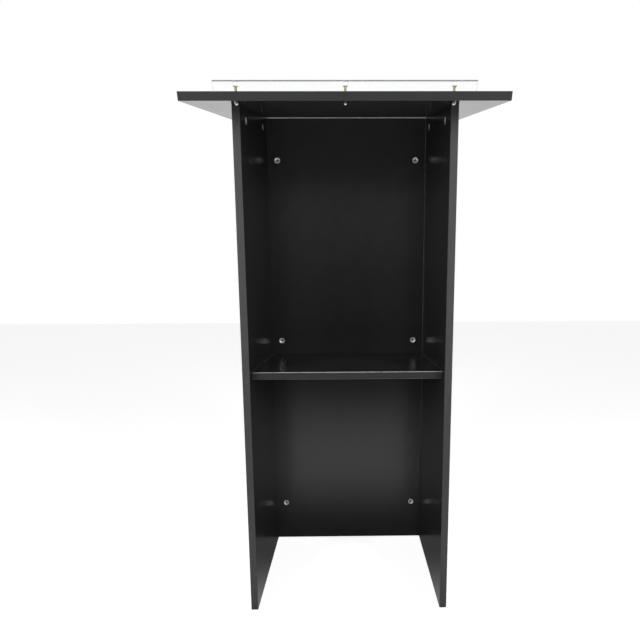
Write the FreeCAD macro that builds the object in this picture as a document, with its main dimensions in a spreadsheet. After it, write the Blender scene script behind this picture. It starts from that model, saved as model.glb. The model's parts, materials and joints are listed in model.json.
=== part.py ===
"""A presentation lectern of laminated board, put together with cam fittings.

A three-sided box stands on four glides: two side panels whose top edges slope, and a front
panel between them on the audience's side. A wide desk board lies on the sloping edges, with a
clear acrylic book stop screwed through it. A loose shelf lies on four pegs between the sides.

Units are millimetres. +Z is up, the audience is towards +Y, the presenter stands at -Y and +X
is at the presenter's right. The origin is on the floor, under the middle of the outline.
"""
import FreeCAD, Part
import os
import Sketcher

DIMENSIONS = {
    # laminated board and the strip that covers its cut edges
    "board": 15,
    "band": 1,
    # the body: outside width, depth, and the height of the desk's seat at the near edge
    "body_width": 434,
    "body_depth": 315,
    "seat_height": 1054,
    "tilt": 15,
    # the desk board: its width, and how far it reaches past the side panels along its slope
    "desk_width": 600,
    "desk_overhang": 54,
    "desk_far_overhang": 50,
    # the front panel's gaps: it sits tight on the left side and leaves a gap on the right
    "front_side_gap": 0.6,
    "front_top_gap": 0.4,
    "front_floor_gap": 2,
    # the shelf
    "shelf_height": 517,
    "shelf_recess": 20,
    "shelf_side_gap": 1,
    "shelf_rear_gap": 4,
    # cam nut: a disc with a hollow for the bolt's head, a slot round half of its wall for the
    # bolt's neck, and a cross recess in its face
    "cam_radius": 7.45,
    "cam_clearance": 0.05,
    "cam_edge_distance": 25,
    "cam_wall": 1.25,
    "cam_floor": 0.7,
    "cam_floor_gap": 0.3,
    "cam_slot_clearance": 0.41,
    "cam_recess_length": 8,
    "cam_recess_width": 1.6,
    "cam_recess_depth": 2,
    "cam_mark_length": 1.6,
    "cam_mark_width": 1.1,
    "cam_mark_depth": 0.4,
    "cam_mark_from_rim": 0.6,
    # connecting bolt: a round head held in the cam, a neck, a shank and a thread
    "bolt_head_radius": 3.7,
    "bolt_head_length": 3,
    "bolt_neck_radius": 2.5,
    "bolt_neck_past_cam": 0.6,
    "bolt_shank_radius": 3.4,
    "bolt_thread_radius": 2.5,
    "bolt_thread_length": 11,
    "bolt_pass_clearance": 0.2,
    "bolt_turn_clearance": 0.3,
    "bolt_seat_clearance": 0.15,
    "pilot_clearance": 0.05,
    "pilot_spare_depth": 0.5,
    # the front panel's fittings, from the panels' lower edge and from the front panel's top
    "front_cam_from_floor": 106,
    "front_cam_from_top": 102,
    # the desk's fittings, along the side panels' sloping edges from their two ends
    "desk_cam_from_near": 52,
    "desk_cam_from_far": 76,
    # each dowel stands this far inward of the cam beside it
    "dowel_from_cam": 32,
    # dowel
    "dowel_radius": 4,
    "dowel_length": 30,
    "dowel_grip": 10,
    "dowel_clearance": 0.1,
    # shelf peg: a pin in the side panel with a flat tongue under the shelf
    "peg_radius": 2.5,
    "peg_depth": 9,
    "peg_tongue_length": 8,
    "peg_rib_length": 7,
    "peg_tongue_width": 10,
    "peg_tongue_thickness": 2,
    "peg_from_shelf_edge": 37,
    # book stop: a clear bar on the desk, and its screws
    "stop_length": 475,
    "stop_height": 18,
    "stop_thickness": 12,
    "stop_setback": 5,
    "stop_edge_radius": 1,
    "screw_spread": 197,
    "screw_radius": 2.5,
    "screw_below_desk": 5,
    "screw_head_radius": 4.7,
    "screw_head_height": 2.2,
    "screw_top_height": 9.5,
    "screw_clearance": 0.15,
    "screw_recess_length": 4.8,
    "screw_recess_width": 0.9,
    "screw_recess_depth": 1.1,
    # cap nut under the desk
    "nut_corner_radius": 4.62,
    "nut_hex_height": 3.6,
    "nut_dome_radius": 3.75,
    "nut_dome_base": 3.6,
    "nut_bore_depth": 5.5,
    "nut_clearance": 0.05,
    # nail-in glide
    "glide_side_margin": 0.5,
    "glide_chamfer": 1,
    "glide_height": 3,
    "glide_from_edge": 26,
    "nail_radius": 1.1,
    "nail_length": 17,
    "nail_head_radius": 3,
    "nail_head_height": 1,
    "nail_head_depth": 1.2,
    "nail_clearance": 0.05,
    # how far a cutting tool reaches past the face that it cuts
    "overcut": 1,
}

DERIVED = {
    "inner_half": "=body_width / 2 - board",
    "inner_depth": "=body_depth - board",
    "slope_length": "=body_depth / cos(tilt)",
    "desk_depth": "=desk_overhang + slope_length + desk_far_overhang",
    "desk_near_y": "=-desk_overhang * cos(tilt) - board * sin(tilt)",
    "desk_far_y": "=(desk_depth - desk_overhang) * cos(tilt)",
    "middle": "=(desk_near_y + desk_far_y) / 2",
    "front_left": "=-inner_half",
    "front_right": "=inner_half - front_side_gap",
    "front_top": "=seat_height + inner_depth * tan(tilt) - front_top_gap",
    "front_cam_low": "=front_cam_from_floor",
    "front_cam_high": "=front_top - front_cam_from_top",
    "front_cam_middle": "=(front_cam_low + front_cam_high) / 2",
    "front_dowel_low": "=front_cam_low + dowel_from_cam",
    "front_dowel_high": "=front_cam_high - dowel_from_cam",
    "desk_cam_near": "=desk_cam_from_near",
    "desk_cam_far": "=slope_length - desk_cam_from_far",
    "desk_dowel_near": "=desk_cam_near + dowel_from_cam",
    "desk_dowel_far": "=desk_cam_far - dowel_from_cam",
    "cam_hollow_radius": "=cam_radius - cam_wall",
    "cam_hollow_height": "=2 * (bolt_head_radius + bolt_turn_clearance)",
    "cam_hollow_depth": "=board / 2 - cam_hollow_height / 2",
    "cam_length": "=cam_hollow_depth + cam_hollow_height + cam_floor",
    "cam_bore_depth": "=cam_length + cam_floor_gap",
    "cam_slot_height": "=2 * (bolt_neck_radius + bolt_pass_clearance)",
    "cam_slot_end": "=asin((bolt_neck_radius + cam_slot_clearance) / cam_hollow_radius) / 1deg",
    "cam_entry_radius": "=bolt_head_radius + bolt_pass_clearance",
    "bolt_seat": "=sqrt(cam_hollow_radius ^ 2 - bolt_head_radius ^ 2) - bolt_seat_clearance",
    "bolt_head_start": "=bolt_seat - bolt_head_length",
    "bolt_channel_radius": "=bolt_head_radius + bolt_turn_clearance",
    "stop_line": "=stop_setback + stop_thickness / 2 - desk_overhang",
    "screw_length": "=screw_top_height + board + screw_below_desk",
    "glide_radius": "=board / 2 - glide_side_margin",
    "glide_foot_radius": "=glide_radius - glide_chamfer",
}

# Frames: the body stands on the glides; the desk's frame lies on the sloping edges, with Y
# up the slope from the side panels' near corner and Z square to the desk's underside.
BODY = "placement(vector(0; -dims.middle; dims.glide_height); rotation(vector(1; 0; 0); 0))"
DESK = BODY + " * placement(vector(0; 0; dims.seat_height); rotation(vector(1; 0; 0); dims.tilt))"
STRAIGHT = "rotation(vector(1; 0; 0); 0)"

doc = FreeCAD.newDocument("lectern")
sheet = doc.addObject("Spreadsheet::Sheet", "dims")
for row, (alias, value) in enumerate({**DIMENSIONS, **DERIVED}.items(), start=1):
    sheet.set(f"A{row}", alias)
    sheet.set(f"B{row}", str(value))
    sheet.setAlias(f"B{row}", alias)
doc.recompute()

nodes = {}


def at(frame, x="0", y="0", z="0", turn=STRAIGHT):
    """A frame inside another one, moved by x, y, z and then turned."""
    return f"{frame} * placement(vector({x}; {y}; {z}); {turn})"


def add(kind, name, frame, **sizes):
    """A primitive whose sizes and place are bound to the sheet."""
    item = doc.addObject(kind, name)
    for size, formula in sizes.items():
        item.setExpression(size, formula)
    item.setExpression("Placement", frame)
    return item


def box(name, frame, length, width, height):
    return add("Part::Box", name, frame, Length=length, Width=width, Height=height)


def cylinder(name, frame, radius, height):
    """A round bar from the frame's origin along its Z axis."""
    return add("Part::Cylinder", name, frame, Radius=radius, Height=height)


def fuse(name, shapes):
    joined = doc.addObject("Part::MultiFuse", name)
    joined.Shapes = shapes
    return joined


def cut(name, base, tools):
    result = doc.addObject("Part::Cut", name)
    result.Base = base
    result.Tool = tools[0] if len(tools) == 1 else fuse(f"{name}_tools", tools)
    return result


def group(name, members):
    """Identical fasteners, as separate solids under one name."""
    together = doc.addObject("Part::Compound", name)
    together.Links = members
    return together


def node(label, item):
    """Names a finished piece."""
    item.Label = label
    nodes[label] = item
    return item


def outline_sketch(body, role, corners):
    """A closed outline on one of the body's own planes, each corner held by two formulas."""
    sketch = body.newObject("Sketcher::SketchObject", f"{body.Name}_outline")
    plane = next(item for item in body.Origin.OriginFeatures if item.Role == role)
    sketch.AttachmentSupport = [(plane, "")]
    sketch.MapMode = "FlatFace"
    values = [[FreeCAD.Units.Quantity(str(body.evalExpression(part))).Value for part in corner]
              for corner in corners]
    count = len(corners)
    for index, (across, up) in enumerate(values):
        following = values[(index + 1) % count]
        start = FreeCAD.Vector(across, up, 0)
        end = FreeCAD.Vector(following[0], following[1], 0)
        sketch.addGeometry(Part.LineSegment(start, end), False)
    for index in range(count):
        sketch.addConstraint(Sketcher.Constraint("Coincident", index, 2, (index + 1) % count, 1))
    for index, corner in enumerate(corners):
        for direction, axis, formula in zip(("DistanceX", "DistanceY"), (-2, -1), corner):
            if formula == "0":
                sketch.addConstraint(Sketcher.Constraint("PointOnObject", index, 1, axis))
                continue
            value = values[index][0 if direction == "DistanceX" else 1]
            number = sketch.addConstraint(Sketcher.Constraint(direction, -1, 1, index, 1, value))
            sketch.setExpression(f"Constraints[{number}]", formula)
    return sketch


def padded(name, frame, role, corners, thickness):
    """A flat piece: an outline on one of the origin planes, with a thickness."""
    body = doc.addObject("PartDesign::Body", name)
    body.setExpression("Placement", frame)
    sketch = outline_sketch(body, role, corners)
    pad = body.newObject("PartDesign::Pad", f"{name}_pad")
    pad.Profile = sketch
    pad.setExpression("Length", thickness)
    return body


def turned(name, frame, corners):
    """A round piece: an outline of (radius, height) corners, turned about the frame's Z."""
    body = doc.addObject("PartDesign::Body", name)
    body.setExpression("Placement", frame)
    sketch = outline_sketch(body, "XZ_Plane", corners)
    revolution = body.newObject("PartDesign::Revolution", f"{name}_turning")
    revolution.Profile = sketch
    revolution.ReferenceAxis = (sketch, ["V_Axis"])
    revolution.Angle = 360
    return body


# --- fittings -------------------------------------------------------------------------------
# A fitting's frame has its origin at the cam's centre on the board's face, Z out of the face
# and X towards the edge where the other board meets it.

LEFT_FACE = "rotation(vector(1; 0; 1); 180)"
RIGHT_FACE = "rotation(vector(0; 1; 0); -90)"
TO_LEFT = "rotation(vector(0; 1; -1); 180)"
TO_RIGHT = "rotation(vector(1; 0; 0); 90)"
ALONG_X = "rotation(vector(0; 1; 0); 90)"
AGAINST_X = "rotation(vector(0; 1; 0); -90)"
QUARTER_TURN = "rotation(vector(0; 0; 1); 90)"


def front_fitting(side, height):
    """Frame of a fitting in the front panel, on its left (-1) or right (1) edge."""
    if side < 0:
        across = "dims.front_left + dims.cam_edge_distance"
    else:
        across = "dims.front_right - dims.cam_edge_distance"
    turn = TO_LEFT if side < 0 else TO_RIGHT
    return at(BODY, across, "dims.inner_depth", height, turn)


def front_reach(side):
    """From a front fitting's centre to the side panel's face."""
    return "dims.cam_edge_distance" if side < 0 else "dims.cam_edge_distance + dims.front_side_gap"


def desk_fitting(side, run):
    """Frame of a fitting in a side panel's inner face, under the desk."""
    turn = LEFT_FACE if side < 0 else RIGHT_FACE
    return at(DESK, f"{side} * dims.inner_half", run, "-dims.cam_edge_distance", turn)


def cam_nut(label, frame):
    """A cam nut, locked: the bolt's neck stands at the end of the slot."""
    disc_frame = at(frame, z="-dims.cam_length")
    disc = cylinder(f"{label}_disc", disc_frame, "dims.cam_radius", "dims.cam_length")
    hollow_frame = at(frame, z="-dims.cam_hollow_depth - dims.cam_hollow_height")
    hollow = cylinder(f"{label}_hollow", hollow_frame, "dims.cam_hollow_radius",
                      "dims.cam_hollow_height")
    slot_turn = "rotation(vector(0; 0; 1); -180 - dims.cam_slot_end)"
    slot_frame = at(frame, z="-dims.board / 2 - dims.cam_slot_height / 2", turn=slot_turn)
    slot = cylinder(f"{label}_slot", slot_frame, "dims.cam_radius + dims.overcut",
                    "dims.cam_slot_height")
    slot.setExpression("Angle", "180 + 2 * dims.cam_slot_end")
    entry_frame = at(frame, z="-dims.board / 2", turn=AGAINST_X)
    entry = cylinder(f"{label}_entry", entry_frame, "dims.cam_entry_radius",
                     "dims.cam_radius + dims.overcut")
    tools = [hollow, slot, entry] + cam_recess(label, frame)
    return node(label, cut(f"{label}_cut", disc, tools))


def cam_recess(label, frame):
    """The cross in the cam's face, and the small mark that points to the bolt."""
    depth = "dims.cam_recess_depth"
    tools = []
    for number, turn in enumerate((STRAIGHT, QUARTER_TURN)):
        turned_frame = at(frame, turn=turn)
        blade_frame = at(turned_frame, "-dims.cam_recess_length / 2",
                         "-dims.cam_recess_width / 2", f"-{depth}")
        tools.append(box(f"{label}_blade_{number}", blade_frame, "dims.cam_recess_length",
                         "dims.cam_recess_width", f"{depth} + dims.overcut"))
    mark_start = "dims.cam_radius - dims.cam_mark_from_rim - dims.cam_mark_length"
    mark_frame = at(frame, mark_start, "-dims.cam_mark_width / 2", "-dims.cam_mark_depth")
    tools.append(box(f"{label}_mark", mark_frame, "dims.cam_mark_length",
                     "dims.cam_mark_width", "dims.cam_mark_depth + dims.overcut"))
    return tools


def cam_drilling(name, frame):
    """The cam's bore and the bolt's channel from the board's edge to it."""
    bore_frame = at(frame, z="-dims.cam_bore_depth")
    bore = cylinder(f"{name}_bore", bore_frame, "dims.cam_radius + dims.cam_clearance",
                    "dims.cam_bore_depth + dims.overcut")
    channel_frame = at(frame, z="-dims.board / 2", turn=ALONG_X)
    channel = cylinder(f"{name}_channel", channel_frame, "dims.bolt_channel_radius",
                       "dims.cam_edge_distance + dims.overcut")
    return [bore, channel]


def pilot_hole(name, frame, reach):
    """The hole in the other board that takes the bolt's thread."""
    pilot_frame = at(frame, f"{reach} - dims.overcut", "0", "-dims.board / 2", ALONG_X)
    return cylinder(name, pilot_frame, "dims.bolt_thread_radius + dims.pilot_clearance",
                    "dims.bolt_thread_length + dims.pilot_spare_depth + dims.overcut")


def connecting_bolt(name, frame, reach):
    """From the head inside the cam, out through the channel, into the other board."""
    head = "dims.bolt_head_length"
    neck_end = "(dims.cam_radius + dims.bolt_neck_past_cam - dims.bolt_head_start)"
    shank_end = f"({reach} - dims.bolt_head_start)"
    tip = f"({shank_end} + dims.bolt_thread_length)"
    corners = [
        ("0", "0"),
        ("dims.bolt_head_radius", "0"),
        ("dims.bolt_head_radius", head),
        ("dims.bolt_neck_radius", head),
        ("dims.bolt_neck_radius", neck_end),
        ("dims.bolt_shank_radius", neck_end),
        ("dims.bolt_shank_radius", shank_end),
        ("dims.bolt_thread_radius", shank_end),
        ("dims.bolt_thread_radius", tip),
        ("0", tip),
    ]
    bolt_frame = at(frame, "dims.bolt_head_start", "0", "-dims.board / 2", ALONG_X)
    return turned(name, bolt_frame, corners)


def dowel(name, frame, reach):
    start = f"{reach} + dims.dowel_grip - dims.dowel_length"
    dowel_frame = at(frame, start, "0", "-dims.board / 2", ALONG_X)
    return cylinder(name, dowel_frame, "dims.dowel_radius", "dims.dowel_length")


def dowel_hole(name, frame, reach):
    """One drill through the meeting edge: both halves of the dowel's hole."""
    start = f"{reach} + dims.dowel_grip - dims.dowel_length - dims.dowel_clearance"
    hole_frame = at(frame, start, "0", "-dims.board / 2", ALONG_X)
    return cylinder(name, hole_frame, "dims.dowel_radius + dims.dowel_clearance",
                    "dims.dowel_length + 2 * dims.dowel_clearance")


FRONT_CAMS = {"low": "dims.front_cam_low", "middle": "dims.front_cam_middle",
              "high": "dims.front_cam_high"}
FRONT_DOWELS = {"low": "dims.front_dowel_low", "high": "dims.front_dowel_high"}
DESK_CAMS = {"near": "dims.desk_cam_near", "far": "dims.desk_cam_far"}
DESK_DOWELS = {"near": "dims.desk_dowel_near", "far": "dims.desk_dowel_far"}
SIDES = {"left": -1, "right": 1}


def shelf_peg_frame(side, run):
    """Frame of a peg on a side panel's inner face, X pointing into the bay."""
    turn = "rotation(vector(0; 0; 1); 180)" if side > 0 else STRAIGHT
    height = "dims.shelf_height - dims.peg_tongue_thickness"
    return at(BODY, f"{side} * dims.inner_half", run, height, turn)


PEG_RUNS = {
    "near": "dims.shelf_recess + dims.peg_from_shelf_edge",
    "far": "dims.inner_depth - dims.shelf_rear_gap - dims.peg_from_shelf_edge",
}


def glide_frame(side, run):
    """Frame of a glide: the middle of a side panel's lower edge, Z up."""
    return at(BODY, f"{side} * (dims.inner_half + dims.board / 2)", run)


GLIDE_RUNS = {"near": "dims.glide_from_edge", "far": "dims.body_depth - dims.glide_from_edge"}


# --- boards ---------------------------------------------------------------------------------

def upright(name, side, start, end):
    """A length of a side panel between two depths, its top cut to the desk's slope."""
    across = "-dims.body_width / 2" if side < 0 else "dims.inner_half"
    top_start = f"(dims.seat_height + ({start}) * tan(dims.tilt))"
    top_end = f"(dims.seat_height + ({end}) * tan(dims.tilt))"
    corners = [(start, "0"), (end, "0"), (end, top_end), (start, top_start)]
    return padded(name, at(BODY, across), "YZ_Plane", corners, "dims.board")


def side_panel(word, side):
    """The board of one side, drilled for its cams, the front's bolts, dowels, pegs and nails."""
    label = f"side_panel_{word}"
    plain = upright(f"{label}_plain", side, "dims.band", "dims.body_depth - dims.band")
    tools = []
    for place, run in DESK_CAMS.items():
        tools += cam_drilling(f"{label}_cam_{place}", desk_fitting(side, run))
    for place, run in DESK_DOWELS.items():
        frame = desk_fitting(side, run)
        tools.append(dowel_hole(f"{label}_dowel_{place}", frame, "dims.cam_edge_distance"))
    for place, height in FRONT_CAMS.items():
        frame = front_fitting(side, height)
        tools.append(pilot_hole(f"{label}_pilot_{place}", frame, front_reach(side)))
    for place, height in FRONT_DOWELS.items():
        frame = front_fitting(side, height)
        tools.append(dowel_hole(f"{label}_front_dowel_{place}", frame, front_reach(side)))
    for place, run in PEG_RUNS.items():
        frame = at(shelf_peg_frame(side, run), "dims.overcut", turn=AGAINST_X)
        tools.append(cylinder(f"{label}_peg_{place}", frame,
                              "dims.peg_radius + dims.pilot_clearance",
                              "dims.peg_depth + dims.pilot_spare_depth + dims.overcut"))
    for place, run in GLIDE_RUNS.items():
        frame = at(glide_frame(side, run), z="-dims.overcut")
        tools.append(cylinder(f"{label}_nail_{place}", frame,
                              "dims.nail_radius + dims.nail_clearance",
                              "dims.nail_length + dims.overcut"))
    node(label, cut(f"{label}_cut", plain, tools))
    near = upright(f"{label}_near", side, "0", "dims.band")
    node(f"side_band_{word}_near", near)
    far = upright(f"{label}_far", side, "dims.body_depth - dims.band", "dims.body_depth")
    node(f"side_band_{word}_far", far)


def front_panel():
    """The audience-side board, between the side panels."""
    frame = at(BODY, "dims.front_left", "dims.inner_depth", "dims.front_floor_gap")
    plain = box("front_plain", frame, "dims.front_right - dims.front_left", "dims.board",
                "dims.front_top - dims.front_floor_gap")
    tools = []
    for word, side in SIDES.items():
        for place, height in FRONT_CAMS.items():
            tools += cam_drilling(f"front_cam_{word}_{place}", front_fitting(side, height))
        for place, height in FRONT_DOWELS.items():
            tools.append(dowel_hole(f"front_dowel_{word}_{place}", front_fitting(side, height),
                                    front_reach(side)))
    node("front_panel", cut("front_cut", plain, tools))


def desk_piece(name, left, near, length, width):
    """A piece of the desk's thickness, placed by its near left lower corner."""
    return box(name, at(DESK, left, near), length, width, "dims.board")


def desk_board():
    """The desk's board inside its edge bands, drilled from below and for the stop's screws."""
    plain = desk_piece("desk_plain", "dims.band - dims.desk_width / 2",
                       "dims.band - dims.desk_overhang", "dims.desk_width - 2 * dims.band",
                       "dims.desk_depth - 2 * dims.band")
    tools = []
    for word, side in SIDES.items():
        for place, run in DESK_CAMS.items():
            tools.append(pilot_hole(f"desk_pilot_{word}_{place}", desk_fitting(side, run),
                                    "dims.cam_edge_distance"))
        for place, run in DESK_DOWELS.items():
            tools.append(dowel_hole(f"desk_dowel_{word}_{place}", desk_fitting(side, run),
                                    "dims.cam_edge_distance"))
    for number in (-1, 0, 1):
        frame = at(DESK, f"{number} * dims.screw_spread", "dims.stop_line",
                   "-dims.overcut")
        tools.append(cylinder(f"desk_screw_hole_{number + 1}", frame,
                              "dims.screw_radius + dims.screw_clearance",
                              "dims.board + 2 * dims.overcut"))
    node("desk_board", cut("desk_cut", plain, tools))


def desk_bands():
    """Edge bands: near and far run the full width, left and right between them."""
    left = "-dims.desk_width / 2"
    near = "-dims.desk_overhang"
    node("desk_band_near",
         desk_piece("band_near", left, near, "dims.desk_width", "dims.band"))
    node("desk_band_far",
         desk_piece("band_far", left, f"{near} + dims.desk_depth - dims.band",
                    "dims.desk_width", "dims.band"))
    node("desk_band_left",
         desk_piece("band_left", left, f"{near} + dims.band", "dims.band",
                    "dims.desk_depth - 2 * dims.band"))
    node("desk_band_right",
         desk_piece("band_right", "dims.desk_width / 2 - dims.band", f"{near} + dims.band",
                    "dims.band", "dims.desk_depth - 2 * dims.band"))


def shelf():
    """The loose shelf, with a band on its near edge."""
    left = "dims.shelf_side_gap - dims.inner_half"
    width = "2 * dims.inner_half - 2 * dims.shelf_side_gap"
    depth = "dims.inner_depth - dims.shelf_recess - dims.shelf_rear_gap"
    band_frame = at(BODY, left, "dims.shelf_recess", "dims.shelf_height")
    node("shelf_band", box("shelf_near", band_frame, width, "dims.band", "dims.board"))
    board_frame = at(BODY, left, "dims.shelf_recess + dims.band", "dims.shelf_height")
    node("shelf_board",
         box("shelf_plain", board_frame, width, f"{depth} - dims.band", "dims.board"))


# --- fasteners ------------------------------------------------------------------------------

def cams_and_bolts():
    """Each cam nut is a piece of its own, because it turns; the bolts are grouped."""
    front_bolts = []
    front_dowels = []
    desk_bolts = []
    desk_dowels = []
    for word, side in SIDES.items():
        for place, height in FRONT_CAMS.items():
            frame = front_fitting(side, height)
            cam_nut(f"front_cam_{word}_{place}", frame)
            front_bolts.append(connecting_bolt(f"front_bolt_{word}_{place}", frame,
                                               front_reach(side)))
        for place, height in FRONT_DOWELS.items():
            front_dowels.append(dowel(f"front_peg_{word}_{place}", front_fitting(side, height),
                                      front_reach(side)))
        for place, run in DESK_CAMS.items():
            frame = desk_fitting(side, run)
            cam_nut(f"desk_cam_{word}_{place}", frame)
            desk_bolts.append(connecting_bolt(f"desk_bolt_{word}_{place}", frame,
                                              "dims.cam_edge_distance"))
        for place, run in DESK_DOWELS.items():
            desk_dowels.append(dowel(f"desk_peg_{word}_{place}", desk_fitting(side, run),
                                     "dims.cam_edge_distance"))
    node("front_connecting_bolts", group("front_bolts", front_bolts))
    node("front_dowels", group("front_dowel_group", front_dowels))
    node("desk_connecting_bolts", group("desk_bolts", desk_bolts))
    node("desk_dowels", group("desk_dowel_group", desk_dowels))


def shelf_pegs():
    """Each peg: a pin in the side panel and a flat tongue that carries the shelf."""
    for word, side in SIDES.items():
        for place, run in PEG_RUNS.items():
            label = f"shelf_peg_{word}_{place}"
            frame = shelf_peg_frame(side, run)
            pin = cylinder(f"{label}_pin", at(frame, turn=AGAINST_X),
                           "dims.peg_radius", "dims.peg_depth")
            tongue_frame = at(frame, "0", "-dims.peg_tongue_width / 2")
            tongue = box(f"{label}_tongue", tongue_frame, "dims.peg_tongue_length",
                         "dims.peg_tongue_width", "dims.peg_tongue_thickness")
            stub = cylinder(f"{label}_stub", at(frame, turn=ALONG_X), "dims.peg_radius",
                            "dims.peg_rib_length")
            above = box(f"{label}_above",
                        at(frame, "0", "-dims.peg_tongue_width / 2", "dims.peg_tongue_thickness"),
                        "dims.peg_tongue_length", "dims.peg_tongue_width", "dims.peg_radius")
            support = cut(f"{label}_support", fuse(f"{label}_arm", [stub, tongue]), [above])
            node(label, fuse(f"{label}_whole", [pin, support]))


def book_stop():
    """The clear bar on the desk, its top corners rounded, its screw holes sunk from above."""
    frame = at(DESK, "-dims.stop_length / 2", "dims.stop_setback - dims.desk_overhang",
               "dims.board")
    bar = box("stop_bar", frame, "dims.stop_length", "dims.stop_thickness", "dims.stop_height")
    doc.recompute()
    rounded = doc.addObject("Part::Fillet", "stop_rounded")
    rounded.Base = bar
    rounded.Edges = [(number, sheet.stop_edge_radius, sheet.stop_edge_radius)
                     for number in top_edges(bar.Shape)]
    tools = []
    for number in (-1, 0, 1):
        hole_frame = at(DESK, f"{number} * dims.screw_spread", "dims.stop_line",
                        "dims.board - dims.overcut")
        shank_radius = "(dims.screw_radius + dims.screw_clearance)"
        head_radius = "(dims.screw_head_radius + dims.screw_clearance)"
        head_top = "(dims.screw_top_height + dims.overcut)"
        head_base = f"({head_top} - dims.screw_head_height)"
        mouth = "(dims.stop_height + 2 * dims.overcut)"
        corners = [("0", "0"), (shank_radius, "0"), (shank_radius, head_base),
                   (head_radius, head_top), (head_radius, mouth), ("0", mouth)]
        tools.append(turned(f"stop_hole_{number + 1}", hole_frame, corners))
    node("book_stop", cut("stop_cut", rounded, tools))


def top_edges(shape):
    """Numbers of the bar's edges that lie along its top, front and back."""
    upward = FreeCAD.Rotation(FreeCAD.Vector(1, 0, 0), sheet.tilt).multVec(FreeCAD.Vector(0, 0, 1))
    highest = max(vertex.Point.dot(upward) for vertex in shape.Vertexes)
    found = []
    for number, edge in enumerate(shape.Edges, start=1):
        lengthwise = abs(edge.tangentAt(0).x) > 0.9
        on_top = abs(edge.CenterOfMass.dot(upward) - highest) < 1e-6
        if lengthwise and on_top:
            found.append(number)
    return found


def stop_screw(number):
    """A countersunk screw, head up inside the bar, its end in the cap nut."""
    name = f"stop_screw_{number + 1}"
    frame = at(DESK, f"{number} * dims.screw_spread", "dims.stop_line",
               "dims.board + dims.screw_top_height - dims.screw_length")
    neck = "(dims.screw_length - dims.screw_head_height)"
    corners = [("0", "0"), ("dims.screw_radius", "0"), ("dims.screw_radius", neck),
               ("dims.screw_head_radius", "dims.screw_length"), ("0", "dims.screw_length")]
    solid = turned(f"{name}_body", frame, corners)
    recess = []
    for count, turn in enumerate((STRAIGHT, QUARTER_TURN)):
        blade_frame = at(at(frame, turn=turn), "-dims.screw_recess_length / 2",
                         "-dims.screw_recess_width / 2",
                         "dims.screw_length - dims.screw_recess_depth")
        recess.append(box(f"{name}_blade_{count}", blade_frame, "dims.screw_recess_length",
                          "dims.screw_recess_width",
                          "dims.screw_recess_depth + dims.overcut"))
    return cut(name, solid, recess)


def cap_nut(number):
    """A domed nut on the desk's underside, hanging down the screw."""
    name = f"cap_nut_{number + 1}"
    frame = at(DESK, f"{number} * dims.screw_spread", "dims.stop_line", "0",
               "rotation(vector(1; 0; 0); 180)")
    hexagon = add("Part::Prism", f"{name}_hexagon", frame,
                  Circumradius="dims.nut_corner_radius", Height="dims.nut_hex_height")
    neck = cylinder(f"{name}_neck", frame, "dims.nut_dome_radius", "dims.nut_dome_base")
    dome = add("Part::Sphere", f"{name}_dome", at(frame, z="dims.nut_dome_base"),
               Radius="dims.nut_dome_radius")
    bore_frame = at(frame, z="-dims.overcut")
    bore = cylinder(f"{name}_bore", bore_frame, "dims.screw_radius + dims.nut_clearance",
                    "dims.nut_bore_depth + dims.overcut")
    return cut(name, fuse(f"{name}_outside", [hexagon, neck, dome]), [bore])


def stop_fasteners():
    node("stop_screws", group("stop_screw_group", [stop_screw(n) for n in (-1, 0, 1)]))
    node("stop_cap_nuts", group("cap_nut_group", [cap_nut(n) for n in (-1, 0, 1)]))


def glides():
    """Each glide: a plastic foot under a side panel, held by a nail through it."""
    nails = []
    for word, side in SIDES.items():
        for place, run in GLIDE_RUNS.items():
            label = f"glide_{word}_{place}"
            floor_frame = at(glide_frame(side, run), z="-dims.glide_height")
            shank = "(dims.nail_radius + dims.nail_clearance)"
            head = "(dims.nail_head_radius + dims.nail_clearance)"
            seat = "(dims.nail_head_depth + dims.nail_head_height)"
            shoulder = "(dims.glide_radius - dims.glide_foot_radius)"
            corners = [(head, "0"), ("dims.glide_foot_radius", "0"),
                       ("dims.glide_radius", shoulder), ("dims.glide_radius", "dims.glide_height"),
                       (shank, "dims.glide_height"), (shank, seat), (head, seat)]
            node(label, turned(f"{label}_foot", floor_frame, corners))
            nails.append(glide_nail(f"glide_nail_{word}_{place}", floor_frame))
    node("glide_nails", group("glide_nail_group", nails))


def glide_nail(name, floor_frame):
    frame = at(floor_frame, z="dims.nail_head_depth")
    corners = [("0", "0"), ("dims.nail_head_radius", "0"),
               ("dims.nail_head_radius", "dims.nail_head_height"),
               ("dims.nail_radius", "dims.nail_head_height"),
               ("dims.nail_radius", "dims.nail_length"), ("0", "dims.nail_length")]
    return turned(name, frame, corners)


def check_and_export():
    """Stops at the first failed object, then writes every named piece."""
    for item in doc.Objects:
        if "Invalid" in item.State or "Error" in item.State:
            raise RuntimeError(f"{item.Label} failed: {item.State}")
    for label, item in nodes.items():
        if item.Shape.isNull() or not item.Shape.isValid() or not item.Shape.Solids:
            raise RuntimeError(f"{label} has no valid solid")
    os.makedirs("parts", exist_ok=True)
    for label, item in nodes.items():
        item.Shape.exportStep(f"parts/{label}.step")


for side_word, side_sign in SIDES.items():
    side_panel(side_word, side_sign)
front_panel()
desk_board()
desk_bands()
shelf()
cams_and_bolts()
shelf_pegs()
book_stop()
stop_fasteners()
glides()
doc.recompute()
check_and_export()
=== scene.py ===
"""The looks of a flat-pack presentation lectern: black laminated board, cam fittings, a book stop.

Everything is in metres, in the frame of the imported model: +Z up, the presenter stands at -Y, and
the floor is at z = 0.
"""

import json
import math

import bmesh
import bpy
from mathutils import Matrix, Vector

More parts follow.
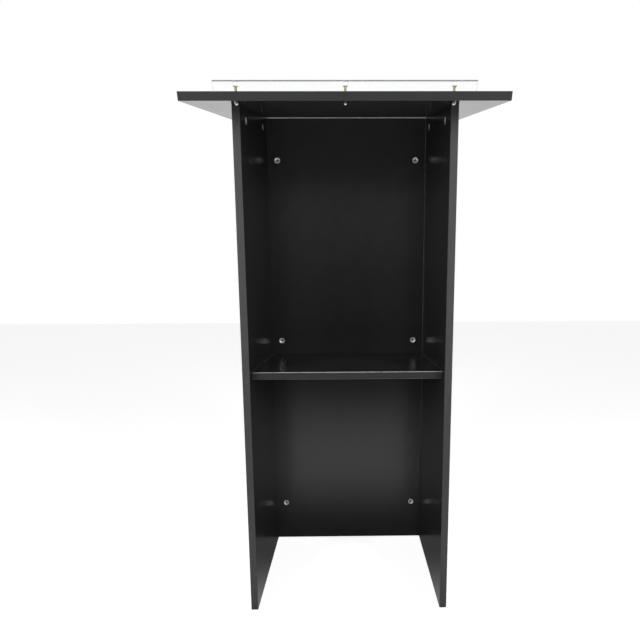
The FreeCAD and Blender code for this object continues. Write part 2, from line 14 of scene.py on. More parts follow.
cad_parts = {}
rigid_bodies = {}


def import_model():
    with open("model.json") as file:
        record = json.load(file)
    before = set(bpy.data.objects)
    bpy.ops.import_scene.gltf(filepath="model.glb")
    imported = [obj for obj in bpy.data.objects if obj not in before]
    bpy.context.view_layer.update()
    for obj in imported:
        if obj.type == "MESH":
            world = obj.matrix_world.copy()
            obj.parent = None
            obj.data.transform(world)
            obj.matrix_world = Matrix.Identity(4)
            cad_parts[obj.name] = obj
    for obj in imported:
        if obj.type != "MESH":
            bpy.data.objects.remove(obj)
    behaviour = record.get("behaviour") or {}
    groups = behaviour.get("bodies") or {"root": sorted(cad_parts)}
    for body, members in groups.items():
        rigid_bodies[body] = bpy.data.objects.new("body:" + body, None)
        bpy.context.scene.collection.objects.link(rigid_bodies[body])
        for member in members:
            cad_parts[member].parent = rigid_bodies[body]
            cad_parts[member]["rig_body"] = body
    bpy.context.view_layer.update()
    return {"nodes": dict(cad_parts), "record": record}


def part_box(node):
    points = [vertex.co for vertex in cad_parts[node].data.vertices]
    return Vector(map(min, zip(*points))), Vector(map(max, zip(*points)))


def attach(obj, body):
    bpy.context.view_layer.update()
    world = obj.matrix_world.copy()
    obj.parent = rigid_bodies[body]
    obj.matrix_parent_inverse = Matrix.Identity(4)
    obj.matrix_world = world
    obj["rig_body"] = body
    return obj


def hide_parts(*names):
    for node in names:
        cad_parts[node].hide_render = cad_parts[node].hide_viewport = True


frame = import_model()
nodes = frame["nodes"]

MM = 0.001
DESK_TILT = math.radians(15)
SQUARE_TO_DESK = Vector((0.0, -math.sin(DESK_TILT), math.cos(DESK_TILT)))
SCREW_HEAD_WIDTH = 9.4 * MM


# --- node building ----------------------------------------------------------------------------

def new_group(name, inputs, outputs):
    """An empty shader group. inputs maps a name to (kind, default), outputs a name to its kind."""
    tree = bpy.data.node_groups.new(name, "ShaderNodeTree")
    for label, (kind, default) in inputs.items():
        socket = tree.interface.new_socket(label, in_out="INPUT", socket_type=f"NodeSocket{kind}")
        if default is not None:
            socket.default_value = default
    for label, kind in outputs.items():
        tree.interface.new_socket(label, in_out="OUTPUT", socket_type=f"NodeSocket{kind}")
    return tree, tree.nodes.new("NodeGroupInput").outputs, tree.nodes.new("NodeGroupOutput").inputs


def put(tree, kind, settings=None, **sockets):
    """Adds a node. Each socket is given a plain value, or the output that feeds it."""
    node = tree.nodes.new(f"ShaderNode{kind}")
    for name, value in (settings or {}).items():
        setattr(node, name, value)
    for label, value in sockets.items():
        feed(tree, node, label.replace("_", " "), value)
    return node


def feed(tree, node, label, value):
    """Sets or links one input, found by its name without regard to capitals, or by its number."""
    if label.isdigit():
        socket = node.inputs[int(label)]
    else:
        socket = next(s for s in node.inputs if s.enabled and s.name.lower() == label.lower())
    if isinstance(value, bpy.types.NodeSocket):
        tree.links.new(value, socket)
    else:
        socket.default_value = value


def arithmetic(tree, operation, first, second=0.0):
    """The result of one sum."""
    node = put(tree, "Math", {"operation": operation})
    feed(tree, node, "0", first)
    feed(tree, node, "1", second)
    return node.outputs[0]


def product(tree, first, *others):
    """The factors multiplied together, one after the other."""
    for factor in others:
        first = arithmetic(tree, "MULTIPLY", first, factor)
    return first


def reach_along(tree, vector, direction):
    """How far a vector reaches along a direction: their dot product."""
    node = put(tree, "VectorMath", {"operation": "DOT_PRODUCT"})
    feed(tree, node, "0", vector)
    feed(tree, node, "1", direction)
    return node.outputs["Value"]


def axes_of(tree, vector):
    """A vector's outputs X, Y and Z."""
    return put(tree, "SeparateXYZ", vector=vector).outputs


def surface_of(tree):
    """What is known of the surface at a point, such as its Normal."""
    return tree.nodes.new("ShaderNodeNewGeometry").outputs


def blend_colours(tree, factor, first, second):
    """A colour from first to second as the factor goes from 0 to 1."""
    node = put(tree, "Mix", {"data_type": "RGBA"})
    feed(tree, node, "factor", factor)
    feed(tree, node, "a", first)
    feed(tree, node, "b", second)
    return next(s for s in node.outputs if s.enabled)


def blend_numbers(tree, factor, first, second):
    """A number from first to second as the factor goes from 0 to 1."""
    return put(tree, "Mix", {"data_type": "FLOAT"}, factor=factor, a=first, b=second).outputs[0]


def remap(tree, value, low, high, to_low=0.0, to_high=1.0):
    """Takes low to to_low and high to to_high, easing in and out, and stays level beyond them."""
    node = put(tree, "MapRange", {"interpolation_type": "SMOOTHSTEP"}, value=value,
               from_min=low, from_max=high, to_min=to_low, to_max=to_high)
    return node.outputs[0]


def use_group(tree, group, **sockets):
    """Places a shared group and gives its outputs."""
    node = tree.nodes.new("ShaderNodeGroup")
    node.node_tree = group
    for label, value in sockets.items():
        feed(tree, node, label.replace("_", " "), value)
    return node.outputs


def new_material(name, metallic=0.0, **constants):
    """A material with one Principled BSDF, its constants set on the shader's own sockets."""
    material = bpy.data.materials.new(name)
    material.use_nodes = True
    tree = material.node_tree
    shader = tree.nodes["Principled BSDF"]
    shader.inputs["Metallic"].default_value = metallic
    for label, value in constants.items():
        feed(tree, shader, label.replace("_", " "), value)
    where = tree.nodes.new("ShaderNodeTexCoord").outputs["Object"]
    return material, tree, shader, where


def set_bump(tree, shader, height, strength, distance):
    """Embosses a surface. distance is how deep a height of 1 is."""
    bump = put(tree, "Bump", height=height, strength=strength, distance=distance)
    tree.links.new(bump.outputs["Normal"], shader.inputs["Normal"])


# --- effects that several finishes share --------------------------------------------------------

def make_pebble_group():
    """The fine embossing of laminate and moulded plastic: shallow rounded pebbles."""
    tree, given, out = new_group(
        "pebble emboss",
        {"Place": ("Vector", None), "Pebble Size": ("Float", 0.001)},
        {"Height": "Float"})
    density = arithmetic(tree, "DIVIDE", 1.0, given["Pebble Size"])
    cells = put(tree, "TexVoronoi", {"feature": "SMOOTH_F1"}, vector=given["Place"],
                scale=density, smoothness=0.6)
    fine_density = arithmetic(tree, "MULTIPLY", density, 2.7)
    fine = put(tree, "TexNoise", vector=given["Place"], scale=fine_density, detail=2.0)
    fine_part = arithmetic(tree, "MULTIPLY", fine.outputs[0], 0.35)
    total = arithmetic(tree, "SUBTRACT", fine_part, cells.outputs["Distance"])
    tree.links.new(total, out["Height"])
    return tree


def make_gloss_group():
    """Gloss that differs from patch to patch, with faint wiped streaks, as roughness."""
    tree, given, out = new_group(
        "patchy gloss",
        {"Place": ("Vector", None), "Base": ("Float", 0.3), "Spread": ("Float", 0.05),
         "Patch Size": ("Float", 0.15)},
        {"Roughness": "Float"})
    density = arithmetic(tree, "DIVIDE", 1.0, given["Patch Size"])
    patches = put(tree, "TexNoise", vector=given["Place"], scale=density, detail=3.0)
    stretched = put(tree, "Mapping", vector=given["Place"], scale=(1.0, 1.0, 0.12))
    streak_density = arithmetic(tree, "MULTIPLY", density, 5.0)
    streaks = put(tree, "TexNoise", vector=stretched.outputs[0], scale=streak_density, detail=2.0)
    both = arithmetic(tree, "ADD", patches.outputs[0], streaks.outputs[0])
    offset = arithmetic(tree, "SUBTRACT", both, 1.0)
    change = arithmetic(tree, "MULTIPLY", offset, given["Spread"])
    tree.links.new(arithmetic(tree, "ADD", change, given["Base"]), out["Roughness"])
    return tree


def make_edge_group():
    """A mask of the outer corners, where handling rubs a finish, broken up by noise."""
    tree, given, out = new_group(
        "rubbed edges",
        {"Place": ("Vector", None), "Reach": ("Float", 0.001), "Amount": ("Float", 0.5)},
        {"Mask": "Float"})
    softened = put(tree, "Bevel", {"samples": 4}, radius=given["Reach"])
    agreement = reach_along(tree, softened.outputs[0], surface_of(tree)["Normal"])
    corner = remap(tree, agreement, 0.99, 0.8)
    noise = put(tree, "TexNoise", vector=given["Place"], scale=90.0, detail=4.0)
    broken = remap(tree, noise.outputs[0], 0.35, 0.6, 0.25, 1.0)
    tree.links.new(product(tree, corner, broken, given["Amount"]), out["Mask"])
    return tree


def make_dust_group():
    """Sparse specks of dust and lint that lie on upward surfaces."""
    tree, given, out = new_group(
        "dust specks",
        {"Place": ("Vector", None), "Amount": ("Float", 0.2)},
        {"Mask": "Float"})
    specks = put(tree, "TexVoronoi", {"feature": "F1"}, vector=given["Place"], scale=260.0)
    speck = remap(tree, specks.outputs["Distance"], 0.16, 0.05)
    clumps = put(tree, "TexNoise", vector=given["Place"], scale=11.0, detail=3.0)
    where_dusty = remap(tree, clumps.outputs[0], 0.52, 0.7)
    upward = remap(tree, axes_of(tree, surface_of(tree)["Normal"])["Z"], 0.4, 0.9)
    tree.links.new(product(tree, speck, where_dusty, upward, given["Amount"]), out["Mask"])
    return tree


CHIP_WANDER = 1.2 * MM
DARK_CHIP = (0.16, 0.1, 0.055, 1)
PALE_CHIP = (0.46, 0.33, 0.2, 1)
GLUE_BETWEEN_CHIPS = (0.07, 0.045, 0.03, 1)


def make_chipboard_group():
    """The cut core of a board: pressed chips in browns, with a rough torn surface."""
    tree, given, out = new_group(
        "chipboard core",
        {"Place": ("Vector", None), "Chip Size": ("Float", 0.0025)},
        {"Colour": "Color", "Height": "Float"})
    density = arithmetic(tree, "DIVIDE", 1.0, given["Chip Size"])
    wobble = put(tree, "TexNoise", vector=given["Place"], scale=density, detail=3.0)
    bent = put(tree, "VectorMath", {"operation": "MULTIPLY_ADD"})
    feed(tree, bent, "0", wobble.outputs["Color"])
    feed(tree, bent, "1", (CHIP_WANDER,) * 3)
    feed(tree, bent, "2", given["Place"])
    chips = put(tree, "TexVoronoi", {"feature": "F1"}, vector=bent.outputs["Vector"], scale=density)
    tone = put(tree, "SeparateColor", color=chips.outputs["Color"])
    tint = blend_colours(tree, tone.outputs[0], DARK_CHIP, PALE_CHIP)
    joint = remap(tree, chips.outputs["Distance"], 0.35, 0.75)
    tint = blend_colours(tree, joint, tint, GLUE_BETWEEN_CHIPS)
    tree.links.new(tint, out["Colour"])
    raised = arithmetic(tree, "SUBTRACT", tone.outputs[1], joint)
    tree.links.new(raised, out["Height"])
    return tree


def make_arris_group():
    """A mask of the softened upper arrises, sloped between level and upright."""
    tree, given, out = new_group(
        "upper arris", {"Place": ("Vector", None), "Amount": ("Float", 0.5)}, {"Mask": "Float"})
    slope = axes_of(tree, surface_of(tree)["True Normal"])["Z"]
    not_upright = remap(tree, slope, 0.15, 0.3)
    not_level = remap(tree, slope, 0.995, 0.96)
    nicks = put(tree, "TexNoise", vector=given["Place"], scale=140.0, detail=3.0)
    broken = remap(tree, nicks.outputs[0], 0.3, 0.5, 0.6, 1.0)
    tree.links.new(product(tree, not_upright, not_level, broken, given["Amount"]), out["Mask"])
    return tree


PEBBLES = make_pebble_group()
ARRIS = make_arris_group()
CHIPBOARD = make_chipboard_group()
GLOSS = make_gloss_group()
RUBBED_EDGES = make_edge_group()
DUST = make_dust_group()


# --- finishes -----------------------------------------------------------------------------------

DARK_LAMINATE = (0.0125, 0.013, 0.0125, 1)
PALE_LAMINATE = (0.0185, 0.019, 0.0185, 1)
RUBBED = (0.06, 0.06, 0.062, 1)
# The shelf's upper arrises: pale where cut, and in part a painted highlight.
PALE_ARRIS_AND_HIGHLIGHT = (0.55, 0.55, 0.55, 1)
DUST_GREY = (0.16, 0.155, 0.145, 1)
POLISHED_ACRYLIC = (0.97, 0.985, 0.98, 1)
CUT_ACRYLIC = (0.3, 0.32, 0.31, 1)
SHADED_ZINC = (0.12, 0.12, 0.125, 1)
DARK_GRAIN = (0.42, 0.27, 0.15, 1)
PALE_GRAIN = (0.66, 0.48, 0.3, 1)
MOULDED_BLACK = (0.014, 0.014, 0.014, 1)
SCUFFED_BLACK = (0.035, 0.034, 0.033, 1)
CORE_ROUGHNESS = 0.85
CUT_EDGE_ROUGHNESS = 0.25
CUT_EDGE_COVER = 0.66
DULL_PLATING = 0.55


def black_laminate(direction, bare_directions, cut_arris_and_highlight=None):
    """Semi-gloss black melamine on a board, with its chipboard core on the edges without a band.

    bare_directions are the ways that those edges face. The last argument is the colour of the upper
    arrises: pale where the laminate is cut off, and in part a painted highlight.
    """
    material, tree, shader, where = new_material(f"black laminate on {direction}", IOR=1.5)
    mottle = put(tree, "TexNoise", vector=where, scale=38.0, detail=5.0)
    tint = blend_colours(tree, mottle.outputs[0], DARK_LAMINATE, PALE_LAMINATE)
    rubbed = use_group(tree, RUBBED_EDGES, place=where, reach=0.8 * MM, amount=0.5)["Mask"]
    tint = blend_colours(tree, rubbed, tint, RUBBED)
    dusty = use_group(tree, DUST, place=where, amount=0.35)["Mask"]
    tint = blend_colours(tree, dusty, tint, DUST_GREY)
    gloss = use_group(tree, GLOSS, place=where, base=0.23, spread=0.05, patch_size=160 * MM)["Roughness"]
    height = use_group(tree, PEBBLES, place=where, pebble_size=0.9 * MM)["Height"]
    if bare_directions:
        core = use_group(tree, CHIPBOARD, place=where, chip_size=2.2 * MM)
        normal = surface_of(tree)["True Normal"]
        bare = 0.0
        for way in bare_directions:
            facing = arithmetic(tree, "ABSOLUTE", reach_along(tree, normal, way))
            bare = arithmetic(tree, "MAXIMUM", remap(tree, facing, 0.8, 0.9), bare)
        tint = blend_colours(tree, bare, tint, core["Colour"])
        gloss = blend_numbers(tree, bare, gloss, CORE_ROUGHNESS)
        torn = arithmetic(tree, "MULTIPLY", core["Height"], 4.0)
        height = blend_numbers(tree, bare, height, torn)
    # Pale upper arrises, in part a painted highlight.
    if cut_arris_and_highlight:
        arris = use_group(tree, ARRIS, place=where, amount=1.0)["Mask"]
        tint = blend_colours(tree, arris, tint, cut_arris_and_highlight)
    tree.links.new(tint, shader.inputs["Base Color"])
    tree.links.new(gloss, shader.inputs["Roughness"])
    set_bump(tree, shader, height, 0.12, 0.05 * MM)
    return material


def black_edge_band(direction, greyness_with_painted_light, scraped_arris_and_highlight=None):
    """The glued strip on a cut edge: greyer and duller than the faces.

    The last argument is the colour of its upper arris, pale from scraping and in part a painted
    highlight.
    """
    material, tree, shader, where = new_material(
        f"black edge band on {direction}", IOR=1.5, Specular_IOR_Level=0.3)
    mottle = put(tree, "TexNoise", vector=where, scale=60.0, detail=4.0)
    # The band's tone carries painted light and shade, set lighter or darker band by band.
    dark, light = [(shade * greyness_with_painted_light,) * 3 + (1,) for shade in (0.85, 1.15)]
    tint = blend_colours(tree, mottle.outputs[0], dark, light)
    rubbed = use_group(tree, RUBBED_EDGES, place=where, reach=0.8 * MM, amount=0.8)["Mask"]
    tint = blend_colours(tree, rubbed, tint, RUBBED)
    # Pale upper arris, in part a painted highlight.
    if scraped_arris_and_highlight:
        arris = use_group(tree, ARRIS, place=where, amount=1.0)["Mask"]
        tint = blend_colours(tree, arris, tint, scraped_arris_and_highlight)
    tree.links.new(tint, shader.inputs["Base Color"])
    gloss = use_group(tree, GLOSS, place=where, base=0.5, spread=0.07, patch_size=80 * MM)["Roughness"]
    tree.links.new(gloss, shader.inputs["Roughness"])
    height = use_group(tree, PEBBLES, place=where, pebble_size=0.6 * MM)["Height"]
    set_bump(tree, shader, height, 0.2, 0.05 * MM)
    return material


def clear_acrylic(top, spread):
    """Clear cast acrylic, polished on its faces, and grey at the top, where it is cut.

    top is how high the bar reaches, square to the desk. The bar is at its clearest round the
    screws, and spread is how far they are apart.
    """
    material, tree, shader, where = new_material(
        "clear acrylic", IOR=1.49, Transmission_Weight=1.0)
    upward = reach_along(tree, where, SQUARE_TO_DESK)
    cut_edge = remap(tree, upward, top - 1.9 * MM, top - 1.3 * MM)
    tint = blend_colours(tree, cut_edge, POLISHED_ACRYLIC, CUT_ACRYLIC)
    tree.links.new(tint, shader.inputs["Base Color"])
    wrapped = put(tree, "Math", {"operation": "WRAP"})
    for socket, value in zip("012", (axes_of(tree, where)["X"], spread / 2, -spread / 2)):
        feed(tree, wrapped, socket, value)
    from_screw = arithmetic(tree, "ABSOLUTE", wrapped.outputs[0])
    body = remap(tree, from_screw, 4.6 * MM, 7.0 * MM, 0.08, 0.3)
    tree.links.new(blend_numbers(tree, cut_edge, body, CUT_EDGE_COVER), shader.inputs["Alpha"])
    gloss = use_group(tree, GLOSS, place=where, base=0.02, spread=0.02, patch_size=30 * MM)["Roughness"]
    tree.links.new(blend_numbers(tree, cut_edge, gloss, CUT_EDGE_ROUGHNESS), shader.inputs["Roughness"])
    ripple = put(tree, "TexNoise", vector=where, scale=70.0, detail=1.0)
    set_bump(tree, shader, ripple.outputs[0], 0.05, 0.05 * MM)
    return material


def metal(name, light, dark, roughness, grain, strength, metallic=1.0, painted_shade_below=None):
    """A bare or plated metal: two tones in patches, uneven gloss, a fine cast or rolled grain.

    The inner faces of the side panels, as an X, and of the front, as a Y, are given last.
    Beneath them the metal is painted dark: painted shade where it is sunk in the board.
    """
    material, tree, shader, where = new_material(name, metallic=metallic)
    patches = put(tree, "TexNoise", vector=where, scale=240.0, detail=4.0)
    tint = blend_colours(tree, patches.outputs[0], (*dark, 1), (*light, 1))
    rubbed = use_group(tree, RUBBED_EDGES, place=where, reach=0.25 * MM, amount=0.5)["Mask"]
    tint = blend_colours(tree, rubbed, tint, (*[min(1.0, part * 1.2) for part in light], 1))
    # Painted shade: the metal is darkened where it lies sunk below the board faces.
    if painted_shade_below:
        axes = axes_of(tree, where)
        aside = arithmetic(tree, "ABSOLUTE", axes["X"])
        into_side = arithmetic(tree, "SUBTRACT", aside, painted_shade_below[0])
        into_front = arithmetic(tree, "SUBTRACT", axes["Y"], painted_shade_below[1])
        sunk = arithmetic(tree, "MAXIMUM", into_side, into_front)
        tint = blend_colours(tree, remap(tree, sunk, 1.0 * MM, 2.2 * MM), tint, SHADED_ZINC)
    tree.links.new(tint, shader.inputs["Base Color"])
    gloss = use_group(
        tree, GLOSS, place=where, base=roughness, spread=0.12, patch_size=4 * MM)["Roughness"]
    tree.links.new(gloss, shader.inputs["Roughness"])
    height = use_group(tree, PEBBLES, place=where, pebble_size=grain)["Height"]
    set_bump(tree, shader, height, strength, 0.04 * MM)
    return material


def beech():
    """Pale dowel wood with its grain along the dowel and short flecks."""
    material, tree, shader, where = new_material("beech dowel", IOR=1.45)
    along = put(tree, "Mapping", vector=where, scale=(40.0, 900.0, 900.0))
    grain = put(tree, "TexNoise", vector=along.outputs[0], scale=1.0, detail=5.0)
    tint = blend_colours(tree, grain.outputs[0], DARK_GRAIN, PALE_GRAIN)
    tree.links.new(tint, shader.inputs["Base Color"])
    tree.links.new(remap(tree, grain.outputs[0], 0.3, 0.7, 0.75, 0.6), shader.inputs["Roughness"])
    set_bump(tree, shader, grain.outputs[0], 0.3, 0.1 * MM)
    return material


def glide_plastic():
    """Black moulded plastic of the glides, scuffed underneath."""
    material, tree, shader, where = new_material("glide plastic", IOR=1.48)
    scuffs = put(tree, "TexNoise", vector=where, scale=500.0, detail=5.0)
    tint = blend_colours(tree, scuffs.outputs[0], MOULDED_BLACK, SCUFFED_BLACK)
    tree.links.new(tint, shader.inputs["Base Color"])
    gloss = use_group(tree, GLOSS, place=where, base=0.5, spread=0.1, patch_size=5 * MM)["Roughness"]
    tree.links.new(gloss, shader.inputs["Roughness"])
    height = use_group(tree, PEBBLES, place=where, pebble_size=0.3 * MM)["Height"]
    set_bump(tree, shader, height, 0.3, 0.05 * MM)
    return material


def span_along(node, direction):
    """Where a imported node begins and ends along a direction."""
    heights = [vertex.co.dot(direction) for vertex in nodes[node].data.vertices]
    return min(heights), max(heights)


def screw_spread():
    """From one of the book stop's three screws to the next."""
    low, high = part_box("stop_screws")
    return (high.x - low.x - SCREW_HEAD_WIDTH) / 2


# Where the boards begin that the cams are sunk in: the side panels in X, the front panel in Y.
# The cam metal below these faces is painted shaded.
BOARD_FACES = (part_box("side_panel_right")[0].x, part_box("front_panel")[0].y)
FINISHES = {
    # Darker than the sides' near bands: painted shade.
    "black_edge_band": black_edge_band("the desk and the far edges", 0.018),
    "clear_acrylic": clear_acrylic(span_along("book_stop", SQUARE_TO_DESK)[1], screw_spread()),
    "zinc_casting": metal(
        "zinc casting", light=(0.95, 0.95, 0.95), dark=(0.84, 0.84, 0.85), roughness=0.36,
        grain=0.25 * MM, strength=0.2, metallic=DULL_PLATING, painted_shade_below=BOARD_FACES),
    "bright_steel": metal(
        "bright steel", light=(0.74, 0.74, 0.75), dark=(0.6, 0.6, 0.62), roughness=0.28,
        grain=0.3 * MM, strength=0.12),
    "nickel": metal(
        "nickel plate", light=(0.82, 0.81, 0.79), dark=(0.72, 0.71, 0.69), roughness=0.14,
        grain=0.5 * MM, strength=0.05),
    "yellow_zinc": metal(
        "yellow zinc plate", light=(0.72, 0.68, 0.46), dark=(0.58, 0.56, 0.42), roughness=0.42,
        grain=0.3 * MM, strength=0.1, metallic=DULL_PLATING),
    "beech_dowel": beech(),
    "glide_plastic": glide_plastic(),
}
# The finishes of single pieces, which come before those of their slots.
BOARD_FINISHES = {
    "shelf_board": black_laminate("the shelf", [(1.0, 0.0, 0.0), (0.0, 1.0, 0.0)], PALE_ARRIS_AND_HIGHLIGHT),
    # The bands' tones hold painted light and shade: the shelf's darkest, the sides' near bands lightest.
    "shelf_band": black_edge_band("the shelf", 0.014, PALE_ARRIS_AND_HIGHLIGHT),
    "side_band_left_near": black_edge_band("the left side", 0.036),
    "side_band_right_near": black_edge_band("the right side", 0.037),
    "desk_board": black_laminate("the desk", []),
}
for upright in ("side_panel_left", "side_panel_right", "front_panel"):
    BOARD_FINISHES[upright] = black_laminate(upright, [(0.0, 0.0, 1.0)])


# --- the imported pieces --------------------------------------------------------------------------

def weld(piece):
    """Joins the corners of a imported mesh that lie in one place."""
    joining = piece.modifiers.new("weld", "WELD")
    joining.merge_threshold = 0.002 * MM


def soften_corners(piece, width):
    """Rounds a piece's sharp corners a little, with modifiers, so that they catch the light."""
    weld(piece)
    bevel = piece.modifiers.new("soft corners", "BEVEL")
    bevel.width = width
    bevel.segments = 2
    bevel.limit_method = "ANGLE"
    bevel.angle_limit = math.radians(40)
    bevel.use_clamp_overlap = True
    normals = piece.modifiers.new("even shading", "WEIGHTED_NORMAL")
    normals.keep_sharp = False


CORNER = {"black_laminate": 0.25 * MM, "black_edge_band": 0.25 * MM, "bright_steel": 0.15 * MM}
SHELF = ("shelf_board", "shelf_band")
SHELF_CORNER = 0.7 * MM

for part in frame["record"]["subparts"]:
    node = part["node"]
    slot = part["material_slot"]
    piece = nodes[node]
    piece.data.materials.clear()
    piece.data.materials.append(BOARD_FINISHES.get(node) or FINISHES[slot])
    if slot in CORNER:
        soften_corners(piece, SHELF_CORNER if node in SHELF else CORNER[slot])


# --- fittings made anew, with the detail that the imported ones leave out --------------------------

def polar_mesh(name, place, rings, steps, ring_shaped=False):
    """A solid of rings round the Z axis of place. Each ring is (height, radius or outline).

    The ends are closed at the axis, or joined to each other where the solid is ring-shaped.
    """
    builder = bmesh.new()
    rows = []
    for height, radius in rings:
        row = []
        for step in range(steps):
            angle = 2 * math.pi * step / steps
            reach = radius(angle) if callable(radius) else radius
            point = place @ Vector((reach * math.cos(angle), reach * math.sin(angle), height))
            row.append(builder.verts.new(point))
        rows.append(row)
    pairs = list(zip(rows, rows[1:]))
    if ring_shaped:
        pairs.append((rows[-1], rows[0]))
    else:
        for row, height in ((rows[0], rings[0][0]), (rows[-1], rings[-1][0])):
            centre = builder.verts.new(place @ Vector((0, 0, height)))
            for step in range(steps):
                builder.faces.new((centre, row[step], row[(step + 1) % steps]))
    for below, above in pairs:
        for step in range(steps):
            after = (step + 1) % steps
            builder.faces.new((below[step], below[after], above[after], above[step]))
    bmesh.ops.recalc_face_normals(builder, faces=builder.faces)
    mesh = bpy.data.meshes.new(name)
    builder.to_mesh(mesh)
    builder.free()
    return mesh


def cross_outline(arm, half_width):
    """The edge of a cross with four arms: how far it is at an angle."""
    def radius(angle):
        off = (angle + math.pi / 4) % (math.pi / 2) - math.pi / 4
        to_end = arm / math.cos(off)
        to_side = half_width / max(abs(math.sin(off)), 1e-6)
        return min(to_end, to_side)
    return radius


def cross_recess(top, rows):
    """The rings of a tapered cross recess. A row is (depth below top, arm, half an arm's width)."""
    return [(top - depth, cross_outline(arm, half_width)) for depth, arm, half_width in rows]


def hexagon_outline(corner_radius, largest):
    """The edge of a hexagon, turned down to a largest radius: how far it is at an angle."""
    def radius(angle):
        off = (angle + math.pi / 6) % (math.pi / 3) - math.pi / 6
        flat = corner_radius * math.cos(math.pi / 6)
        return min(flat / math.cos(math.pi / 6 - abs(off)), largest)
    return radius


def thread_outline(crest, depth, turns):
    """A thread's V groove at a height given in turns: how far it is at an angle."""
    def radius(angle):
        phase = (turns - angle / (2 * math.pi)) % 1.0
        return crest - depth * (1 - abs(2 * phase - 1)) ** 0.8
    return radius


def upright_frame(origin, out, along):
    """A frame whose Z is out and whose X is along, at origin."""
    across = out.cross(along)
    columns = Matrix((along, across, out)).transposed()
    return Matrix.Translation(origin) @ columns.to_4x4()


def joined(name, meshes):
    """One mesh of several."""
    builder = bmesh.new()
    for mesh in meshes:
        builder.from_mesh(mesh)
    whole = bpy.data.meshes.new(name)
    builder.to_mesh(whole)
    builder.free()
    return whole


def stand_for(piece_name, mesh, node):
    """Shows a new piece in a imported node's place, on the same body and with the same finish."""
    for polygon in mesh.polygons:
        polygon.use_smooth = True
    mesh.set_sharp_from_angle(angle=math.radians(28))
    old = nodes[node]
    slot = next(part["material_slot"] for part in frame["record"]["subparts"] if part["node"] == node)
    mesh.materials.clear()
    mesh.materials.append(FINISHES[slot])
    piece = bpy.data.objects.new(piece_name, mesh)
    bpy.context.scene.collection.objects.link(piece)
    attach(piece, old["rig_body"])
    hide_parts(node)
    return piece


CAM_RADIUS = 7.45 * MM
CAM_CHAMFER = 0.8 * MM
SINK_RADIUS = 5.9 * MM
SINK_DEPTH = 0.8 * MM
CAM_RECESS = (
    (0.01 * MM, 4.6 * MM, 1.6 * MM), (0.5 * MM, 4.3 * MM, 1.3 * MM), (2.4 * MM, 2.4 * MM, 0.7 * MM))
CAM_STEPS = 96


def cam_place(node):
    """A cam's frame: the centre of its face, out of the board, and X towards its bolt."""
    low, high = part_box(node)
    centre = (low + high) / 2
    side = 1.0 if centre.x > 0 else -1.0
    if node.startswith("front"):
        centre.y = low.y
        return upright_frame(centre, Vector((0, -1, 0)), Vector((side, 0, 0)))
    centre.x = low.x if side > 0 else high.x
    return upright_frame(centre, Vector((-side, 0, 0)), SQUARE_TO_DESK)


def make_cam_cutter(place):
    """What is cut off a cam: its sunk face with the cross recess, and the rim's chamfer."""
    above = 1 * MM
    hair = 0.01 * MM
    face = polar_mesh("sunk face", place, [
        (above, SINK_RADIUS), (0.0, SINK_RADIUS), (-SINK_DEPTH, SINK_RADIUS - SINK_DEPTH),
        *cross_recess(-SINK_DEPTH, CAM_RECESS)], CAM_STEPS)
    rim = polar_mesh("rim chamfer", place, [
        (above, CAM_RADIUS - CAM_CHAMFER), (0.0, CAM_RADIUS - CAM_CHAMFER),
        (-CAM_CHAMFER, CAM_RADIUS + hair), (-CAM_CHAMFER, CAM_RADIUS + above),
        (above, CAM_RADIUS + above)], CAM_STEPS, ring_shaped=True)
    return joined("cutter", [face, rim])


def make_cam_nut(node):
    """A cast cam nut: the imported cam, with a chamfered rim, a sunk face and a cross recess."""
    cutter = bpy.data.objects.new("cutter", make_cam_cutter(cam_place(node)))
    blank = bpy.data.objects.new("blank", nodes[node].data.copy())
    for thing in (cutter, blank):
        bpy.context.scene.collection.objects.link(thing)
    weld(blank)
    cut = blank.modifiers.new("cut", "BOOLEAN")
    cut.operation = "DIFFERENCE"
    cut.solver = "EXACT"
    cut.object = cutter
    graph = bpy.context.evaluated_depsgraph_get()
    mesh = bpy.data.meshes.new_from_object(blank.evaluated_get(graph))
    for thing in (cutter, blank):
        bpy.data.objects.remove(thing)
    return stand_for(node.replace("cam", "cam_nut"), mesh, node)


def stop_line_places(node, out):
    """The frames of three fittings on the stop's screw line, their origins at the node's inner end."""
    uphill = Vector((0.0, math.cos(DESK_TILT), math.sin(DESK_TILT)))
    low_run, high_run = span_along(node, uphill)
    run = uphill * (low_run + high_run) / 2
    start = out * span_along(node, out)[0]
    spread = screw_spread()
    return [upright_frame(Vector((number * spread, 0, 0)) + run + start, out, Vector((1, 0, 0)))
            for number in (-1, 0, 1)]


STOP_STEPS = 48
SCREW_RADIUS = 2.5 * MM
SCREW_TIP_RADIUS = 1.9 * MM
THREAD_PITCH = 0.8 * MM
THREAD_DEPTH = 0.42 * MM
SLICES_PER_TURN = 6
SHANK_RADIUS = 2.3 * MM
SHANK_HEIGHT = 0.3 * MM
HEAD_HEIGHT = 2.2 * MM
# Each row of the head is (depth below its top, radius), from the cone's edge to the face.
SCREW_HEAD = ((0.25 * MM, 4.62 * MM), (0.1 * MM, SCREW_HEAD_WIDTH / 2), (0.0, 4.6 * MM))
SCREW_RECESS = (
    (0.001 * MM, 2.5 * MM, 0.6 * MM), (0.9 * MM, 2.1 * MM, 0.42 * MM), (1.7 * MM, 0.9 * MM, 0.3 * MM))


